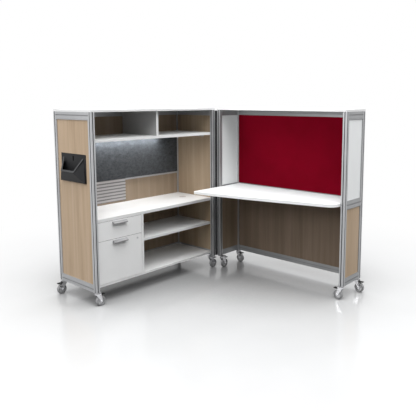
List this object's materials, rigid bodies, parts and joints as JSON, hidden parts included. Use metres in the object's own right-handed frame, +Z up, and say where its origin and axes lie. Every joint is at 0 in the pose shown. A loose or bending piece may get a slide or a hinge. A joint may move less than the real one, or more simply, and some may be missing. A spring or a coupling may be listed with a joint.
{
  "type": "mobile cubicle workstation",
  "caption": "Mobile workstation of a storage unit and a desk unit on casters, hinged at one upright edge so that they open into an L and close on each other",
  "frame": {"origin": "on the floor, under the middle of the bounding box", "axes": "+Z up; +X from the storage unit's back towards the desk unit's far end, along the desk unit's width; +Y from the storage unit's far end towards the desk unit's back"},
  "size_m": [1.892, 1.661, 1.467],
  "materials": {
    "anodised": "satin",
    "white_laminate": "satin",
    "oak": "satin",
    "slate_board": "matte",
    "red_fabric": "woven",
    "tile_plastic": "satin",
    "light_housing": "satin",
    "steel": "satin",
    "tray_steel": "satin",
    "black_metal": "matte",
    "chrome": "polished",
    "tyre_grey": "matte",
    "black_plastic": "matte"
  },
  "bodies": {
    "storage_unit": {"storage_posts": "anodised", "storage_rails": "anodised", "storage_top_cap": "white_laminate", "storage_side_panels": "oak", "storage_back_panel": "oak", "overhead_shelf": "white_laminate", "tackboard": "slate_board", "tool_rail": "anodised", "slatted_tile": "tile_plastic", "task_light": "light_housing", "storage_worktop": "white_laminate", "bottom_panel": "white_laminate", "pedestal_sides": "white_laminate", "middle_shelf": "white_laminate", "storage_fittings": "steel", "wall_pocket": "black_metal", "storage_hinge_leaf": "black_metal", "hinge_pin": "steel", "storage_caster_plates": "steel"},
    "box_drawer": {"box_drawer_tray": "tray_steel", "box_drawer_front": "white_laminate", "box_drawer_pull": "light_housing"},
    "file_drawer": {"file_drawer_tray": "tray_steel", "file_drawer_front": "white_laminate", "file_drawer_pull": "light_housing"},
    "drawer_lock": {"lock_cylinder": "light_housing"},
    "desk_unit": {"desk_posts": "anodised", "desk_rails": "anodised", "desk_top_cap": "white_laminate", "desk_upper_panels": "white_laminate", "desk_lower_panels": "oak", "fabric_tack_panel": "red_fabric", "desk_top": "white_laminate", "desk_arms": "steel", "desk_hinge_leaf": "black_metal", "desk_caster_plates": "steel"},
    "storage_front_left_swivel": {"storage_front_left_fork": "chrome"},
    "storage_front_left_roller": {"storage_front_left_wheel": "tyre_grey"},
    "storage_front_left_lever": {"storage_front_left_brake": "black_plastic"},
    "storage_front_right_swivel": {"storage_front_right_fork": "chrome"},
    "storage_front_right_roller": {"storage_front_right_wheel": "tyre_grey"},
    "storage_front_right_lever": {"storage_front_right_brake": "black_plastic"},
    "storage_back_left_swivel": {"storage_back_left_fork": "chrome"},
    "storage_back_left_roller": {"storage_back_left_wheel": "tyre_grey"},
    "storage_back_left_lever": {"storage_back_left_brake": "black_plastic"},
    "storage_back_right_swivel": {"storage_back_right_fork": "chrome"},
    "storage_back_right_roller": {"storage_back_right_wheel": "tyre_grey"},
    "storage_back_right_lever": {"storage_back_right_brake": "black_plastic"},
    "desk_front_left_swivel": {"desk_front_left_fork": "chrome"},
    "desk_front_left_roller": {"desk_front_left_wheel": "tyre_grey"},
    "desk_front_left_lever": {"desk_front_left_brake": "black_plastic"},
    "desk_front_right_swivel": {"desk_front_right_fork": "chrome"},
    "desk_front_right_roller": {"desk_front_right_wheel": "tyre_grey"},
    "desk_front_right_lever": {"desk_front_right_brake": "black_plastic"},
    "desk_back_left_swivel": {"desk_back_left_fork": "chrome"},
    "desk_back_left_roller": {"desk_back_left_wheel": "tyre_grey"},
    "desk_back_left_lever": {"desk_back_left_brake": "black_plastic"},
    "desk_back_right_swivel": {"desk_back_right_fork": "chrome"},
    "desk_back_right_roller": {"desk_back_right_wheel": "tyre_grey"},
    "desk_back_right_lever": {"desk_back_right_brake": "black_plastic"}
  },
  "joints": [
    {"name": "unit_hinge", "type": "hinge", "parent": "storage_unit", "child": "desk_unit", "pos_m": [-0.403, 0.5315, 0.78], "axis": [0, 0, 1], "range_deg": [-90, 90]},
    {"name": "box_drawer_slide", "type": "slide", "parent": "storage_unit", "child": "box_drawer", "axis": [1, 0, 0], "range_m": [0, 0.34]},
    {"name": "file_drawer_slide", "type": "slide", "parent": "storage_unit", "child": "file_drawer", "axis": [1, 0, 0], "range_m": [0, 0.34]},
    {"name": "lock_turn", "type": "hinge", "parent": "file_drawer", "child": "drawer_lock", "pos_m": [-0.45, -0.3535, 0.4475], "axis": [1, 0, 0], "range_deg": [0, 90]},
    {"name": "storage_front_left_turn", "type": "hinge", "parent": "storage_unit", "child": "storage_front_left_swivel", "pos_m": [-0.432, -0.7535, 0.095], "axis": [0, 0, 1], "continuous": true},
    {"name": "storage_front_left_roll", "type": "hinge", "parent": "storage_front_left_swivel", "child": "storage_front_left_roller", "pos_m": [-0.432, -0.7275, 0.038], "axis": [-1, 0, 0], "continuous": true},
    {"name": "storage_front_left_press", "type": "hinge", "parent": "storage_front_left_swivel", "child": "storage_front_left_lever", "pos_m": [-0.432, -0.7355, 0.0867], "axis": [-1, 0, 0], "range_deg": [0, 18]},
    {"name": "storage_front_right_turn", "type": "hinge", "parent": "storage_unit", "child": "storage_front_right_swivel", "pos_m": [-0.432, 0.4865, 0.095], "axis": [0, 0, 1], "continuous": true},
    {"name": "storage_front_right_roll", "type": "hinge", "parent": "storage_front_right_swivel", "child": "storage_front_right_roller", "pos_m": [-0.432, 0.5125, 0.038], "axis": [-1, 0, 0], "continuous": true},
    {"name": "storage_front_right_press", "type": "hinge", "parent": "storage_front_right_swivel", "child": "storage_front_right_lever", "pos_m": [-0.432, 0.5045, 0.0867], "axis": [-1, 0, 0], "range_deg": [0, 18]},
    {"name": "storage_back_left_turn", "type": "hinge", "parent": "storage_unit", "child": "storage_back_left_swivel", "pos_m": [-0.882, -0.7535, 0.095], "axis": [0, 0, 1], "continuous": true},
    {"name": "storage_back_left_roll", "type": "hinge", "parent": "storage_back_left_swivel", "child": "storage_back_left_roller", "pos_m": [-0.882, -0.7795, 0.038], "axis": [1, 0, 0], "continuous": true},
    {"name": "storage_back_left_press", "type": "hinge", "parent": "storage_back_left_swivel", "child": "storage_back_left_lever", "pos_m": [-0.882, -0.7715, 0.0867], "axis": [1, 0, 0], "range_deg": [0, 18]},
    {"name": "storage_back_right_turn", "type": "hinge", "parent": "storage_unit", "child": "storage_back_right_swivel", "pos_m": [-0.882, 0.5025, 0.095], "axis": [0, 0, 1], "continuous": true},
    {"name": "storage_back_right_roll", "type": "hinge", "parent": "storage_back_right_swivel", "child": "storage_back_right_roller", "pos_m": [-0.908, 0.5025, 0.038], "axis": [0, -1, 0], "continuous": true},
    {"name": "storage_back_right_press", "type": "hinge", "parent": "storage_back_right_swivel", "child": "storage_back_right_lever", "pos_m": [-0.9, 0.5025, 0.0867], "axis": [0, -1, 0], "range_deg": [0, 18]},
    {"name": "desk_front_left_turn", "type": "hinge", "parent": "desk_unit", "child": "desk_front_left_swivel", "pos_m": [-0.358, 0.5605, 0.095], "axis": [0, 0, 1], "continuous": true},
    {"name": "desk_front_left_roll", "type": "hinge", "parent": "desk_front_left_swivel", "child": "desk_front_left_roller", "pos_m": [-0.358, 0.5865, 0.038], "axis": [-1, 0, 0], "continuous": true},
    {"name": "desk_front_left_press", "type": "hinge", "parent": "desk_front_left_swivel", "child": "desk_front_left_lever", "pos_m": [-0.358, 0.5785, 0.0867], "axis": [-1, 0, 0], "range_deg": [0, 18]},
    {"name": "desk_front_right_turn", "type": "hinge", "parent": "desk_unit", "child": "desk_front_right_swivel", "pos_m": [0.882, 0.5605, 0.095], "axis": [0, 0, -1], "continuous": true},
    {"name": "desk_front_right_roll", "type": "hinge", "parent": "desk_front_right_swivel", "child": "desk_front_right_roller", "pos_m": [0.856, 0.5605, 0.038], "axis": [0, -1, 0], "continuous": true},
    {"name": "desk_front_right_press", "type": "hinge", "parent": "desk_front_right_swivel", "child": "desk_front_right_lever", "pos_m": [0.864, 0.5605, 0.0867], "axis": [0, -1, 0], "range_deg": [0, 18]},
    {"name": "desk_back_left_turn", "type": "hinge", "parent": "desk_unit", "child": "desk_back_left_swivel", "pos_m": [-0.374, 0.8085, 0.095], "axis": [0, 0, 1], "continuous": true},
    {"name": "desk_back_left_roll", "type": "hinge", "parent": "desk_back_left_swivel", "child": "desk_back_left_roller", "pos_m": [-0.348, 0.8085, 0.038], "axis": [0, 1, 0], "continuous": true},
    {"name": "desk_back_left_press", "type": "hinge", "parent": "desk_back_left_swivel", "child": "desk_back_left_lever", "pos_m": [-0.356, 0.8085, 0.0867], "axis": [0, 1, 0], "range_deg": [0, 18]},
    {"name": "desk_back_right_turn", "type": "hinge", "parent": "desk_unit", "child": "desk_back_right_swivel", "pos_m": [0.882, 0.8085, 0.095], "axis": [0, 0, 1], "continuous": true},
    {"name": "desk_back_right_roll", "type": "hinge", "parent": "desk_back_right_swivel", "child": "desk_back_right_roller", "pos_m": [0.908, 0.8085, 0.038], "axis": [0, 1, 0], "continuous": true},
    {"name": "desk_back_right_press", "type": "hinge", "parent": "desk_back_right_swivel", "child": "desk_back_right_lever", "pos_m": [0.9, 0.8085, 0.0867], "axis": [0, 1, 0], "range_deg": [0, 18]}
  ]
}
